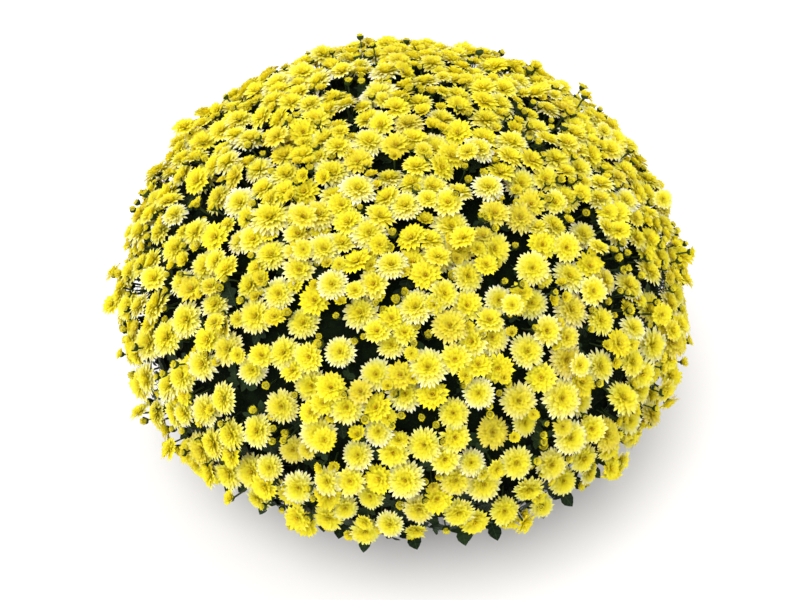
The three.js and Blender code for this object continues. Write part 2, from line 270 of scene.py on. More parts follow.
def spread_directions(count, shake, random):
    """Directions spread evenly over a sphere in a golden-angle spiral, then shaken and pushed apart."""
    spacing = math.sqrt(4 * math.pi / count)
    dirs = np.array([dir_at(math.acos(1 - 2 * (i + 0.5) / count), i * GOLDEN) for i in range(count)])
    offsets = np.array([[random() - 0.5 for _ in range(3)] for _ in range(count)])
    dirs = unit(dirs + offsets * 2 * shake * spacing)
    nearest = 0.93 * spacing
    for _ in range(SPREAD_ROUNDS):
        for i in range(count):
            gaps = norm(dirs[i + 1:] - dirs[i], axis=1)
            for j in np.nonzero(gaps < 1.4 * nearest)[0] + i + 1:
                apart = dirs[i] - dirs[j]
                gap = math.sqrt(apart @ apart)
                if gap < nearest:
                    apart *= 0.25 * (nearest - gap) / gap
                    dirs[i] = unit(dirs[i] + apart)
                    dirs[j] = unit(dirs[j] - apart)
    return dirs


class Flower:
    """One flower, half-open flower or bud: where it stands, which way it faces, its size and its spray."""

    def __init__(self, direction, depth, facing, spin, radius, kind):
        self.move_to(direction, depth)
        self.facing = facing
        self.spin = spin
        self.radius = radius
        self.kind = kind
        self.spray = int(np.argmax(spray_middles @ direction))

    def move_to(self, direction, depth):
        self.direction = direction
        self.depth = depth
        self.place = dome_point(direction, depth)


def facing_at(direction, lean):
    lift = BLOOM_LIFT * sin(polar_of(direction))
    return unit(dome_normal(direction) + lean + UP * lift)


def frame_flowers():
    """The flowers of the frame with their own spins, at their own places or aside from a channel."""
    random = seeded(23)
    dirs = spread_directions(BLOOMS_PER_SPHERE, 0.2, random)
    dirs = dirs[[polar_of(d) < LOWEST_BLOOM * RAD for d in dirs]]
    dirs = dirs[[polar_of(d) < SPARSE_BELOW * RAD or i % SPARSE_STEP != 1 for i, d in enumerate(dirs)]]
    flowers = []
    for direction in dirs:
        middle = spray_middles[np.argmax(spray_middles @ direction)]
        drawn = between(direction, middle, BLOOM_DRAW)
        depth = BLOOM_STAGGER * random()
        spin = random() * TURN
        lean = np.array([random() - 0.5 for _ in range(3)]) * BLOOM_LEAN
        flowers.append(Flower(drawn, depth, facing_at(drawn, lean), spin, 0, "full"))
    places = np.array([f.place for f in flowers])
    for i, flower in enumerate(flowers):
        gaps = norm(places - places[i], axis=1)
        gaps[i] = np.inf
        flower.radius = min(BLOOM_MOST_RADIUS, 0.49 * gaps.min())
    for flower in flowers:
        off_channel(flower)
    return flowers


CHANNEL_WAVES = 9  # waves whose zero lines are the dark channels between clumps of flowers
CHANNEL_PITCH = (62, 105)  # shortest and longest wave, along the dome
CHANNEL_EDGE = 0.36  # how near zero the waves are where a channel ends
CHANNEL_PUSH = 9  # how far a flower on a channel is drawn aside, into its clump,
CHANNEL_SINK = 7  # and how far it stands back
# Channels narrow towards the crown: heights of a direction, and the width at each one.
CHANNEL_WIDTHS = ([-0.2, 0.5, 0.9], [1.75, 1.65, 0.45])
CHANNEL_EMPTY = 0.72  # share of a channel's places where nothing grows
CANDIDATES = 6000  # places tried for the smaller flowers
FILLERS = 1150  # smaller flowers and buds at most
FILLER_LEAST_ROOM = 1.2  # free distance under which nothing more is set
FILLER_CLEARANCE = 5.5  # round a place that is left empty
FILLER_LEAN = 0.4  # how far the smaller flowers lean to any side
FLOWER_CORE = 0.66  # share of a flower's radius that others keep clear of
# Fillers grow larger near the crown: heights of a direction, and the factor on their room at each one.
LUSHNESS = ([0.4, 0.8], [1.0, 1.4])
# They thin out down the sides: degrees from the crown, and the share that is left out at each one.
THINNING = ([50, 68, 92, 101], [0.04, 0.24, 0.46, 0.56])
STRAYS = 84  # flowers and buds that stand out of the dome on longer stalks,
HANGING = 30  # and more of them that hang out of the skirt,
HANGING_BELOW = 98  # below this polar angle
STRAY_LEAN = 0.65
# The luck up to which a stray is of a kind, its radii, and how far it stands out of the dome.
STRAY_KINDS = [
    (0.50, "open", (10.5, 14.5), (0, 9)),
    (0.75, "half", (7, 9.5), (1, 12)),
    (1.00, "bud", (4.4, 6.2), (2, 10)),
]


def channel_field(dirs):
    """A smooth field over the dome, at these directions. Its zero lines wander between clumps of flowers."""
    rng = default_rng(3)
    pitches = rng.uniform(*CHANNEL_PITCH, CHANNEL_WAVES)
    waves = unit(rng.normal(0, 1, (CHANNEL_WAVES, 3))) * (TURN * DOME_RADIUS / pitches)[:, None]
    phases = rng.uniform(0, TURN, CHANNEL_WAVES)
    return np.sin(dirs @ waves.T + phases).sum(axis=-1) / math.sqrt(CHANNEL_WAVES / 2)


def off_channel(flower):
    """Draws a flower aside from the channel that it lies on, if it does, and back from the dome's face."""
    value = channel_field(flower.direction)
    beside = [channel_field(flower.direction + SLOPE_STEP * axis) for axis in np.eye(3)]
    slope = (np.array(beside) - value) / SLOPE_STEP
    slope -= flower.direction * (slope @ flower.direction)
    nearness = math.exp(-(value / CHANNEL_EDGE) ** 2)
    push = math.copysign(CHANNEL_PUSH / DOME_RADIUS * nearness, value)
    flower.move_to(unit(flower.direction + unit(slope) * push), flower.depth + CHANNEL_SINK * nearness)


def filler_kind(room, channel, rng):
    """What grows in a gap of this much room: its kind, radius and depth, or nothing."""
    luck = rng.random()
    if channel < CHANNEL_EDGE:
        if luck < CHANNEL_EMPTY:
            return None
        return "bud", rng.uniform(4.4, 6.4), rng.uniform(2, 12)
    if room > 5.6 and luck < 0.86:
        return "open", min(15.0, room * rng.uniform(1.25, 1.75)), rng.uniform(0, 9)
    if room > 3.6 and luck < 0.90:
        return "half", min(9.6, max(6.6, room * 1.4)), rng.uniform(-1, 8)
    if luck < 0.5:
        return None
    return "bud", rng.uniform(4.4, 6.6), rng.uniform(-2, 7)


def filler_flowers(flowers):
    """Smaller flowers, half-open ones and buds, set where there is most room between the flowers so far."""
    rng = default_rng(5)
    lowest = cos((LOWEST_BLOOM + 1.5) * RAD)
    heights = 1 - (1 - lowest) * (np.arange(CANDIDATES) + 0.5) / CANDIDATES
    dirs = np.array([dir_at(math.acos(h), i * GOLDEN) for i, h in enumerate(heights)])
    dirs = unit(dirs + rng.normal(0, 0.012, dirs.shape))
    places = np.array([dome_point(d, 0) for d in dirs])
    channels = np.abs(channel_field(dirs)) / np.interp(dirs[:, 2], *CHANNEL_WIDTHS)
    room = np.full(CANDIDATES, 40.0)
    for flower in flowers:
        gap = norm(places - dome_point(flower.direction, 0), axis=1) - FLOWER_CORE * flower.radius
        room = np.minimum(room, gap)
    fillers = []
    while len(fillers) < FILLERS:
        best = int(np.argmax(room + rng.uniform(0, 2.0, CANDIDATES) * (room > 0)))
        if room[best] < FILLER_LEAST_ROOM:
            break
        chosen = filler_kind(room[best] * np.interp(dirs[best][2], *LUSHNESS), channels[best], rng)
        if rng.random() < np.interp(polar_of(dirs[best]) / RAD, *THINNING):
            chosen = None
        clear = FILLER_CLEARANCE
        if chosen:
            kind, radius, depth = chosen
            clear = FLOWER_CORE * radius
            facing = facing_at(dirs[best], rng.uniform(-1, 1, 3) * FILLER_LEAN)
            fillers.append(Flower(dirs[best], depth, facing, rng.uniform(0, TURN), radius, kind))
        room = np.minimum(room, norm(places - places[best], axis=1) - clear)
    return fillers


def stray_flowers():
    """Flowers and buds on longer stalks, which break the dome's outline."""
    rng = default_rng(7)
    strays = []
    for number in range(STRAYS + HANGING):
        highest = 1 if number < STRAYS else cos(HANGING_BELOW * RAD)
        height = rng.uniform(cos(LOWEST_BLOOM * RAD), highest)
        direction = dir_at(math.acos(height), rng.uniform(0, TURN))
        luck = rng.random()
        kind, radii, reach = next(row[1:] for row in STRAY_KINDS if luck < row[0])
        radius = rng.uniform(*radii)
        depth = -rng.uniform(*reach)
        facing = facing_at(direction, rng.uniform(-1, 1, 3) * STRAY_LEAN)
        strays.append(Flower(direction, depth, facing, rng.uniform(0, TURN), radius, kind))
    return strays


# -------- flowers as meshes

# Layers of petals from the rim inwards: how many, their length in flower radii, their rise in degrees at the
# root and at the tip, half their width in flower radii, and their rows of points.
FULL_LAYERS = [
    (28, 1.00, 21, -14, 0.115, "fine"),
    (24, 0.88, 33, -1, 0.112, "coarse"),
    (18, 0.73, 46, 15, 0.110, "coarse"),
    (14, 0.57, 58, 30, 0.110, "coarse"),
    (10, 0.42, 66, 50, 0.105, "coarse"),
    (6, 0.27, 72, 76, 0.095, "coarse"),
]
OPEN_LAYERS = [
    (19, 1.00, 28, -6, 0.155, "coarse"),
    (15, 0.80, 44, 14, 0.140, "coarse"),
    (10, 0.60, 60, 42, 0.130, "coarse"),
    (6, 0.38, 70, 70, 0.125, "coarse"),
]
HALF_LAYERS = [
    (14, 1.00, 42, 30, 0.230, "coarse"),
    (11, 0.78, 58, 54, 0.200, "coarse"),
    (7, 0.50, 72, 84, 0.170, "coarse"),
]
BUD_LAYERS = [(11, 1.10, 34, 78, 0.310, "coarse")]
ROWS = {  # places along a petal, and its width there
    "fine": [(0.34, 0.74), (0.67, 1.00), (0.89, 0.58)],
    "coarse": [(0.38, 0.82), (0.77, 0.92)],
}
PETAL_CHANNEL = 0.24  # how far a petal's edges stand up, as a share of its half width
PETAL_ROOT = 0.04  # where a petal starts, in flower radii from the axis
LAYER_RISE = 0.03  # from layer to layer, in flower radii
BUTTON_SIDES = 7
BUTTON_FOOT = 0.05
BUTTON_SHOULDER = 0.55  # height of the button's edge, as a share of its top's


def petal_points(length, rise, half_width, rows):
    """One petal along +X from the flower's axis: its points, and how far along and across it each one is."""

    def slope_at(t):
        return (rise[0] + (rise[1] - rise[0]) * t) * RAD

    steps = [0.0] + [t for t, _ in rows] + [1.0]
    middle = [(PETAL_ROOT, 0.0)]
    for t0, t1 in zip(steps, steps[1:]):
        slope = slope_at((t0 + t1) / 2)
        x, z = middle[-1]
        reach = (t1 - t0) * length
        middle.append((x + reach * cos(slope), z + reach * sin(slope)))
    points = [(PETAL_ROOT, 0.0, 0.0)]
    for (t, share), (x, z) in zip(rows, middle[1:]):
        width = half_width * share
        slope = slope_at(t)
        edge = PETAL_CHANNEL * width
        edge_x, edge_z = x - edge * sin(slope), z + edge * cos(slope)
        points += [(edge_x, width, edge_z), (x, 0.0, z), (edge_x, -width, edge_z)]
    points.append((middle[-1][0], 0.0, middle[-1][1]))
    along = [0.0] + [t for t, _ in rows for _ in range(3)] + [1.0]
    across = [0.0] + [1.0, 0.0, -1.0] * len(rows) + [0.0]
    return np.array(points), np.array(along), np.array(across)


def petal_triangles(rows):
    tip = 3 * len(rows) + 1
    ends = [(0, 2, 1), (0, 3, 2), (tip - 3, tip - 2, tip), (tip - 2, tip - 1, tip)]
    return np.array(ends + strip_triangles(len(rows), 1))


def flower_shape(layers, rng, button):
    """A flower of unit radius that faces +Z: its points, triangles and attributes.

    The button is the small eye in its middle, and has a radius and a height.
    """
    shape = Batch("along", "across", "eye")
    for number, (petals, length, root_rise, tip_rise, half_width, finish) in enumerate(layers):
        rows = ROWS[finish]
        triangles = petal_triangles(rows)
        offset = rng.uniform(0, TURN)
        for k in range(petals):
            own_length = length * rng.uniform(0.9, 1.06)
            tilt = rng.normal(0, 4)
            rise = (root_rise + tilt, tip_rise + tilt + rng.normal(0, 4))
            own_width = half_width * rng.uniform(0.88, 1.1)
            points, along, across = petal_points(own_length, rise, own_width, rows)
            x, y, z = points.T
            z = z + y * rng.normal(0, 0.16) + LAYER_RISE * number
            angle = offset + (k + rng.normal(0, 0.13)) * TURN / petals
            c, s = cos(angle), sin(angle)
            points = np.stack([x * c - y * s, x * s + y * c, z], axis=1)
            shape.add(points, triangles, along=along, across=across, eye=0.0)
    sides = BUTTON_SIDES
    radius, height = button
    levels = (BUTTON_FOOT, height * BUTTON_SHOULDER)
    rings = [point_at(radius, azimuth, level) for level in levels for azimuth in angles(sides)]
    fan = []
    for i in range(sides):
        j = (i + 1) % sides
        fan += [(i, j, sides + j), (i, sides + j, sides + i), (sides + i, sides + j, 2 * sides)]
    shape.add(np.array(rings + [(0, 0, height)]), np.array(fan), along=0.0, across=0.0, eye=1.0)
    points, triangles, values = shape.joined()
    values["out"] = np.clip(norm(points[:, :2], axis=1), 0, 1)
    return points, triangles, values


# Kinds of flower: layers, the button's radius and height in flower radii, and the number of variants.
FLOWER_KINDS = {
    "full": (FULL_LAYERS, (0.050, 0.40), 9),
    "open": (OPEN_LAYERS, (0.075, 0.40), 6),
    "half": (HALF_LAYERS, (0.15, 0.50), 5),
    "bud": (BUD_LAYERS, (0.46, 0.62), 4),
}
FULL_SHARE = (0.82, 1.10)  # of the frame's radius, from flower to flower
NOD = 0.14  # how far a flower nods to any side, on top of the frame's own lean
# A flower's depth below its place, in its own radii, and how far its rim has faded.
SEAT = {"full": 0.48, "open": 0.48, "half": 0.80, "bud": 1.0}
AGES = {"full": (0.75, 1), "open": (0.5, 0.9), "half": (0.15, 0.4)}
CROWN_FADE = 0.10  # how much further the crown's flowers have faded than those at the sides


def add_flower_pieces(flowers, material):
    """One piece for each spray of the frame, with every flower and bud that belongs to it."""
    rng = default_rng(17)
    shapes = {}
    for kind, (layers, button, variants) in FLOWER_KINDS.items():
        shapes[kind] = [flower_shape(layers, rng, button) for _ in range(variants)]
    rng = default_rng(29)
    batches = [Batch("along", "across", "out", "eye", "age", "tint") for _ in spray_middles]
    for flower in flowers:
        flower.facing = unit(flower.facing + rng.normal(0, NOD, 3))
        points, triangles, values = picked(shapes[flower.kind], rng)
        turn = turn_to(flower.facing, flower.spin)
        flower.size = flower.radius * (rng.uniform(*FULL_SHARE) if flower.kind == "full" else 1)
        flower.base = flower.place - flower.facing * SEAT[flower.kind] * flower.size
        ages = {kind: rng.uniform(*span) for kind, span in AGES.items()}
        age = ages.get(flower.kind, 0.0) * (1 + CROWN_FADE * flower.direction[2])
        placed = points * flower.size @ turn.T + flower.base
        batches[flower.spray].add(placed, triangles, age=age, tint=rng.random(), **values)
    for number, batch in enumerate(batches, start=1):
        piece = batch.piece(f"flowers_{number:02d}", material)
        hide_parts(f"flower_spray_{number:02d}")


# -------- stalks, branches and trunk


def tube(path, radii, sides):
    """A round bar along a path, with a radius for each of its points, closed at both ends."""
    path = np.array(path, dtype=float)
    ahead = unit(np.gradient(path, axis=0))
    points = []
    side = np.cross(ahead[0], UP if abs(ahead[0][2]) < 0.9 else ASIDE)
    for place, forward, radius in zip(path, ahead, radii):
        side = unit(side - forward * (side @ forward))
        other = np.cross(forward, side)
        for angle in angles(sides):
            points.append(place + radius * (side * cos(angle) + other * sin(angle)))
    return np.array(points + [path[0], path[-1]]), ring_triangles(len(path), sides)


def curve_points(start, bend, end, steps):
    """Points along the curve that leaves start towards bend and arrives at end."""
    t = np.linspace(0, 1, steps)[:, None]
    return (1 - t) ** 2 * start + 2 * t * (1 - t) * bend + t ** 2 * end


# The cup under a flower: its radius in flower radii, its depth in its own, and its reach up the petals.
CUPS = {
    "full": (0.28, 0.8, 0.03),
    "open": (0.30, 0.8, 0.05),
    "half": (0.42, 1.0, 0.22),
    "bud": (0.74, 1.1, 0.42),
}
CUP_SIDES = 5
STALK_LEAST = 0.75  # a stalk's radius is this much,
STALK_SHARE = 0.035  # and this share of its flower's radius


def add_stalks(flowers, material):
    """A curved stalk and a green cup under every flower."""
    batch = Batch("along", "tint")
    rng = default_rng(31)
    for flower in flowers:
        middle = spray_middles[flower.spray]
        drawn = STALK_DRAW if flower.kind == "full" else STALK_DRAW * rng.uniform(0.0, 0.25)
        foot = dome_point(between(flower.direction, middle, drawn), BUSH_DEPTH + rng.uniform(8, 20))
        length = norm(flower.base - foot)
        bend = flower.base - unit(flower.facing + unit(flower.base - foot)) * 0.5 * length
        thick = STALK_LEAST + STALK_SHARE * flower.size
        path = curve_points(foot, bend, flower.base, 4)
        points, triangles = tube(path, np.full(4, thick), 3)
        batch.add(points, triangles, along=0.3, tint=rng.random())
        width, deep, reach = CUPS[flower.kind]
        cup = flower.size * width
        depth = cup * deep
        reach *= flower.size
        outline = [(thick, -depth * 0.55), (0.75 * cup, -depth * 0.25)]
        outline += [(cup, reach * 0.35), (cup * 1.02, reach)]
        rings = [point_at(r, azimuth, height) for r, height in outline for azimuth in angles(CUP_SIDES)]
        points = np.array(rings) @ turn_to(flower.facing, flower.spin).T + flower.base
        triangles = ring_triangles(len(outline), CUP_SIDES, closed=False)
        batch.add(points, triangles, along=0.8, tint=rng.random())
    piece = batch.piece("flower_stalks", material)


def branch_ends(random):
    """Where the frame's main branches end."""
    ends = []
    for count, reach, height in BRANCH_TIERS:
        for i in range(count):
            azimuth = (i + 0.4 * random()) * TURN / count
            ends.append(point_at(reach, azimuth, height))
    return ends


SIDE_BRANCHES = 3  # to each spray,
SIDE_SPREAD = 26  # and how far their tips are from its middle


def add_branches(ends, material):
    """The woody trunk, the main branches, and side branches to every spray."""
    batch = Batch("along", "tint")
    rng = default_rng(41)
    foot = np.array([0, 0, SOIL_TOP - 30.0])
    fork = np.array([0, 0, TRUNK_TOP - 7.0])
    steps = np.linspace(0, 1, 9)[:, None]
    trunk_radii = TRUNK_RADIUS * np.array([1.0, 1.0, 1.0, 0.98, 0.96, 0.97, 1.0, 0.98, 0.8])
    trunk_path = foot + (fork + [0, 0, 9.0] - foot) * steps
    batch.add(*tube(trunk_path, trunk_radii * 0.98, 18), along=0.0, tint=0.5)
    joints = []
    for end in ends:
        path = curve_points(fork, fork + (end - fork) * 0.45 + UP * 18, end, 12)
        path[1:-1] += rng.normal(0, 1.6, (10, 3))
        joints.append(path[3:])
        radii = np.linspace(BRANCH_RADIUS * 1.25, BRANCH_RADIUS * 0.75, 12)
        batch.add(*tube(path, radii, 9), along=0.15, tint=rng.random())
    joints = np.concatenate(joints)
    for middle in spray_middles:
        goal = dome_point(middle, BUSH_DEPTH + 6)
        normal = dome_normal(middle)
        behind = goal - normal * 60
        start = joints[np.argmin(norm(joints - behind, axis=1))]
        for _ in range(SIDE_BRANCHES):
            side = rng.normal(0, SIDE_SPREAD, 3)
            end = goal + side - normal * (side @ normal)
            path = curve_points(start, (start + behind) / 2 + rng.normal(0, 6, 3), end, 7)
            batch.add(*tube(path, np.linspace(2.3, 1.5, 7), 6), along=0.3, tint=rng.random())
    piece = batch.piece("branches", material)


# -------- leaves

# Half the outline of a lobed leaf from its stalk to its tip, in shares of its length along and to the side.
LEAF_HALF = [
    (0.00, 0.012), (0.14, 0.016), (0.20, 0.13), (0.27, 0.21), (0.34, 0.20),
    (0.38, 0.11), (0.45, 0.16), (0.52, 0.27), (0.60, 0.31), (0.66, 0.24),
    (0.70, 0.13), (0.78, 0.17), (0.87, 0.15), (0.95, 0.07), (1.00, 0.0),
]
LEAF_HALF_WIDTH = 0.33  # where the attribute across is 1
LEAF_VARIANTS = 12


def leaf_shape(rng):
    """A lobed leaf of unit length along +X, its face up: its points, triangles and attributes."""
    droop = rng.uniform(0.10, 0.34)
    fold = rng.uniform(0.10, 0.35)
    wave = rng.uniform(0.008, 0.022)
    phase = rng.uniform(0, 6)
    points, across = [], []
    for x, y in LEAF_HALF:
        for s in (1, 0, -1):
            side = y * s
            lift = abs(side) * fold + wave * sin(17 * x + phase + 2 * s) * (abs(side) / 0.2)
            points.append((x, side, lift - droop * x * x))
            across.append(abs(side) / LEAF_HALF_WIDTH)
    points = np.array(points)
    values = {"along": points[:, 0].clip(0, 1), "across": np.array(across)}
    return points, np.array(strip_triangles(len(LEAF_HALF))), values


def turned_leaf(points, length, roll, pitch, yaw):
    """A leaf turned about its own axis, then down and aside, in radians."""
    cr, sr, cp, sp, cy, sy = (f(a) for a in (roll, pitch, yaw) for f in (cos, sin))
    about_x = np.array([[1, 0, 0], [0, cr, -sr], [0, sr, cr]])
    about_y = np.array([[cp, 0, sp], [0, 1, 0], [-sp, 0, cp]])
    about_z = np.array([[cy, -sy, 0], [sy, cy, 0], [0, 0, 1]])
    return points * length @ (about_z @ about_y @ about_x).T


HEM_LEAVES = 240  # round the lower edge, besides the frame's own
# Leaves between the flowers, among the lowest ones, and inside the canopy: how many, their degrees from the
# crown, their roots' depths, their lengths, how far they tip up, and 1 to face outwards.
SCATTERED_LEAVES = {
    "outer_leaves": (950, (0, 111), (21, 38), (20, 34), (0.0, 0.5), 1),
    "low_leaves": (240, (94, 112), (15, 28), (24, 40), (-0.3, 0.15), 1),
    "inner_leaves": (260, (0, 100), (66, 84), (30, 48), (0.1, 0.9), -1),
}


def add_leaves(random, material):
    """The frame's leaves round the skirt, with more of their kind, and the scattered ones."""
    rng = default_rng(43)
    shapes = [leaf_shape(rng) for _ in range(LEAF_VARIANTS)]
    edge_radius, edge_height = profile(SKIRT_POLAR, BUSH_DEPTH)
    hem = Batch("along", "across", "tint")

    def hem_leaf(length, roll, pitch, yaw, root_radius, root_height, azimuth):
        points, triangles, values = picked(shapes, rng)
        leaf = turned_leaf(points, length, roll, pitch, yaw) + [root_radius, 0, root_height]
        c, s = cos(azimuth), sin(azimuth)
        leaf = leaf @ np.array([[c, s, 0], [-s, c, 0], [0, 0, 1]])
        hem.add(leaf, triangles, tint=rng.random(), **values)

    for i in range(SKIRT_LEAVES):
        azimuth = (i + 0.5 * random()) * TURN / SKIRT_LEAVES
        length = LEAF_LENGTH * (0.85 + 0.3 * random())
        roll = (random() - 0.5) * 0.7
        pitch = (LEAF_PITCH + 12 * (random() - 0.5)) * RAD
        yaw = (random() - 0.5) * 0.5
        root_radius = edge_radius - LEAF_ROOT_IN
        hem_leaf(length, roll, pitch, yaw, root_radius, edge_height - LEAF_ROOT_DOWN, azimuth)
    for _ in range(HEM_LEAVES):
        hem_leaf(
            rng.uniform(26, 42), rng.normal(0, 0.4), rng.uniform(0, 75) * RAD, rng.normal(0, 0.6),
            edge_radius - rng.uniform(12, 36), edge_height + rng.uniform(1, 32), rng.uniform(0, TURN),
        )
    piece = hem.piece("hem_leaves", material)

    for name, (count, polars, depths, lengths, tips, side) in SCATTERED_LEAVES.items():
        batch = Batch("along", "across", "tint")
        top, bottom = (cos(polar * RAD) for polar in polars)
        for i in range(count):
            share = (i + 0.5) / count
            polar = math.acos(top * (1 - share) + bottom * share)
            direction = unit(dir_at(polar, i * GOLDEN) + rng.normal(0, 0.05, 3))
            normal = dome_normal(direction) * side
            aside = unit(np.cross(normal, rng.normal(0, 1, 3)))
            ahead = unit(aside + normal * rng.uniform(*tips))
            up = unit(normal - ahead * (normal @ ahead))
            points, triangles, values = picked(shapes, rng)
            turn = np.stack([ahead, np.cross(up, ahead), up], axis=1)
            root = dome_point(direction, rng.uniform(*depths))
            leaf = points * rng.uniform(*lengths) @ turn.T + root
            batch.add(leaf, triangles, tint=rng.random(), **values)
        scatter = batch.piece(name, material)


# The shell's depth under the dome's face: degrees from the crown, and the depth at each.
SHELL_DEPTHS = ([62, 95], [28, BUSH_DEPTH + 7])
SHELL_ROWS = 40  # from the crown to the hem
SHELL_SIDES = 96
SHELL_LUMPS = 4.5  # height of its lumps


def add_painted_shade_foliage(material):
    """The dark mass that the outer leaves stand out of, near black as painted shade: a lumpy shell round the
    frame's hollow.
    """
    edge_radius, edge_height = profile(SKIRT_POLAR, BUSH_DEPTH + 10)
    polars = np.linspace(0.0, SKIRT_POLAR, SHELL_ROWS)
    outline = [profile(polar, np.interp(polar / RAD, *SHELL_DEPTHS)) for polar in polars]
    outline += [(edge_radius - 6, edge_height - HEM + 3), (edge_radius - 22, edge_height + 6)]
    outline += [(radius + 4, height + 6) for radius, height in CANOPY_HOLLOW] + [(0, HOLLOW_PEAK + 8)]
    points = revolved(outline, SHELL_SIDES).reshape(-1, 3)
    x, y, z = points.T
    lumps = np.sin(x * 0.21) * np.sin(y * 0.23 + 1) * np.sin(z * 0.19 + 2)
    centre = np.array([0, 0, WIDEST_LEVEL - 20.0])
    points += unit(points - centre) * (lumps * SHELL_LUMPS)[:, None]
    # The outline runs down from the crown, so the triangles are turned over to face outwards.
    triangles = ring_triangles(len(outline), SHELL_SIDES, closed=False)[:, ::-1]
    batch = Batch("along", "across", "tint")
    batch.add(points, triangles, along=0.0, across=0.5, tint=0.0)
    piece = batch.piece("painted_shade_foliage", material)
    return piece


# -------- pot and soil


def lathe(outline, sides):
    """Points and triangles of an outline that starts and ends on the axis, turned round it."""
    rings = outline[1:-1]
    ends = [(0, 0, outline[0][1]), (0, 0, outline[-1][1])]
    points = np.concatenate([revolved(rings, sides).reshape(-1, 3), ends])
    return points, ring_triangles(len(rings), sides)


def arc(centre, radius, start, end, steps):
    """Points of an arc in an outline. Its angles are in degrees: 0 is outwards and 90 is up."""
    return [
        (centre[0] + radius * cos(a * RAD), centre[1] + radius * sin(a * RAD))
        for a in np.linspace(start, end, steps)
    ]


def pot_wall_at(height):
    return POT_BASE_RADIUS + (POT_TOP_RADIUS - POT_BASE_RADIUS) * height / POT_HEIGHT


def pot_inside_at(height):
    share = (height - POT_FLOOR) / (POT_HEIGHT - POT_FLOOR)
    return POT_BASE_RADIUS - POT_WALL + (POT_TOP_RADIUS - POT_BASE_RADIUS) * share


def add_pot(material):
    """The nursery pot: a tapered wall with a rolled rim, a raised floor on a foot ring, and drain holes."""
    rim_foot = POT_HEIGHT - POT_RIM_DEPTH
    wall = pot_wall_at(rim_foot)
    rim = wall + POT_RIM_REACH
    top = POT_TOP_RADIUS + POT_RIM_REACH
    foot = 2.5
    outline = [(0, 2.0), (58, 2.0), (POT_BASE_RADIUS - 9, 1.2), (POT_BASE_RADIUS - 7, 0.0)]
    outline += arc((POT_BASE_RADIUS - foot, foot), foot, -90, -8, 6)
    outline += [(pot_wall_at(height), height) for height in np.linspace(8, rim_foot - 4, 9)]
    outline += [(wall, rim_foot - 1.5), (wall + 0.6, rim_foot)]
    outline += arc((rim - 1.2, rim_foot + 1.2), 1.2, -90, 0, 4)
    outline += [(rim + 0.3 * (top - rim), rim_foot + 5), (top - 0.2, POT_HEIGHT - 3.2)]
    outline += arc((top - 2.8, POT_HEIGHT - 2.8), 2.8, 0, 90, 7)
    outline += arc((POT_TOP_RADIUS - POT_WALL + 1.4, POT_HEIGHT - 1.4), 1.4, 90, 180, 5)
    outline += [(pot_inside_at(height), height) for height in np.linspace(POT_HEIGHT - 6, POT_FLOOR + 4, 6)]
    outline += arc((pot_inside_at(POT_FLOOR) - 2, POT_FLOOR + 2), 2, 0, -90, 4)
    outline.append((0, POT_FLOOR))
    batch = Batch("along")
    batch.add(*lathe(outline, 128), along=0.0)
    pot = batch.piece("nursery_pot", material)
    cutters = Batch("along")
    for i in range(DRAIN_HOLES):
        azimuth = (i + 0.5) * TURN / DRAIN_HOLES
        path = [point_at(DRAIN_CIRCLE, azimuth, height) for height in (-3.0, POT_FLOOR + 3.0)]
        cutters.add(*tube(path, [DRAIN_RADIUS, DRAIN_RADIUS], 24), along=0.0)
    cutter = cutters.piece("drain_cutter", material)
    cut = pot.modifiers.new("drains", "BOOLEAN")
    cut.object = cutter
    cut.operation = "DIFFERENCE"
    cut.solver = "EXACT"
    with bpy.context.temp_override(object=pot, active_object=pot, selected_objects=[pot]):
        bpy.ops.object.modifier_apply(modifier=cut.name)
    bpy.data.objects.remove(cutter)
    for polygon in pot.data.polygons:
        polygon.use_smooth = True
    pot.data.set_sharp_from_angle(angle=38 * RAD)
    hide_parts("pot")


SOIL_CRUMBS = 420
PALE_SHARE = 0.16  # of the crumbs


def add_soil(material):
    """Crumbly potting mix: a rough surface with loose crumbs and a few pale grains on it."""
    rng = default_rng(47)
    edge = SOIL_TOP - SOIL_CROWN
    edge_radius = pot_inside_at(edge)
    outline = [(0, POT_FLOOR + 0.6), (pot_inside_at(POT_FLOOR) - 0.8, POT_FLOOR + 0.6)]
    outline += [(pot_inside_at(height) - 0.6, height) for height in np.linspace(30, edge, 4)]
    for share in np.linspace(0.97, 0.02, 30):
        outline.append((edge_radius * share, SOIL_TOP - SOIL_CROWN * share * share))
    outline.append((0, SOIL_TOP))
    points, triangles = lathe(outline, 120)
    on_top = points[:, 2] > edge + 0.1
    points[on_top, 2] += rng.normal(0, 0.75, on_top.sum())
    points[on_top, :2] += rng.normal(0, 0.5, (on_top.sum(), 2))
    batch = Batch("pale")
    batch.add(points, triangles, pale=0.0)
    corners = [(1, 1, 1), (-1, -1, 1), (-1, 1, -1), (1, -1, -1), (0.2, 0, 1.2), (0, -1.1, -0.4)]
    corners = unit(np.array(corners, float))
    faces = np.array([(0, 4, 3), (4, 1, 5), (4, 5, 3), (0, 2, 4), (2, 1, 4), (2, 3, 5), (1, 2, 5), (0, 3, 2)])
    for _ in range(SOIL_CRUMBS):
        radius = edge_radius * 0.96 * math.sqrt(rng.uniform(0.02, 1))
        share = radius / edge_radius
        place = point_at(radius, rng.uniform(0, TURN), SOIL_TOP - SOIL_CROWN * share * share)
        pale = rng.random() < PALE_SHARE
        size = rng.uniform(1.0, 2.2) if pale else rng.uniform(1.2, 4.2)
        grain = corners * size * rng.uniform(0.6, 1.3, 3)
        batch.add(grain @ turn_to(unit(rng.normal(0, 1, 3))).T + place, faces, pale=float(pale))
    soil = batch.piece("potting_mix", material)
    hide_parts("soil")


# -------- materials


